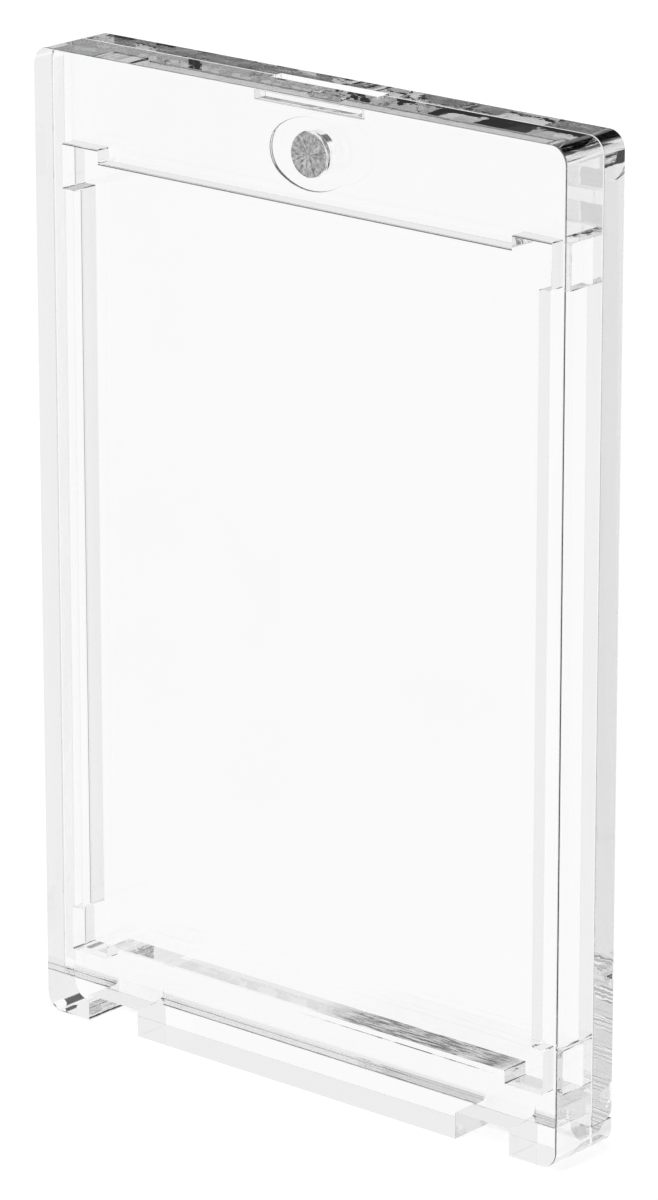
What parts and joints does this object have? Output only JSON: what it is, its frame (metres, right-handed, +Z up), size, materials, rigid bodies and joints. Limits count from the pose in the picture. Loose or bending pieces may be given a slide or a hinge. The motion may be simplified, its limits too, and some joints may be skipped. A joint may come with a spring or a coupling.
{
  "type": "trading card display case",
  "caption": "Clear rectangular case for one thick trading card: a recessed front shell and a hinged rear shell closed by a magnet.",
  "frame": {"origin": "middle of the footprint, on the surface that the upright case stands on", "axes": "+Z up along the height, +Y from the front face to the rear face, +X along the width, to the right seen from the front"},
  "size_m": [0.073, 0.0096, 0.1107],
  "materials": {
    "clear_front": "polished clear moulding",
    "clear_rear": "polished clear moulding",
    "magnet_metal": "dull nickel plating",
    "disc_metal": "plain steel under a thin film of adhesive"
  },
  "bodies": {
    "front_body": {"front_shell": "clear_front", "steel_disc": "disc_metal"},
    "rear_body": {"rear_shell": "clear_rear", "magnet": "magnet_metal"}
  },
  "joints": [
    {"name": "rear_shell_hinge", "type": "hinge", "parent": "front_body", "child": "rear_body", "pos_m": [0, 0.00477, 0.00315], "axis": [-1, 0, 0], "range_deg": [0, 60]}
  ]
}
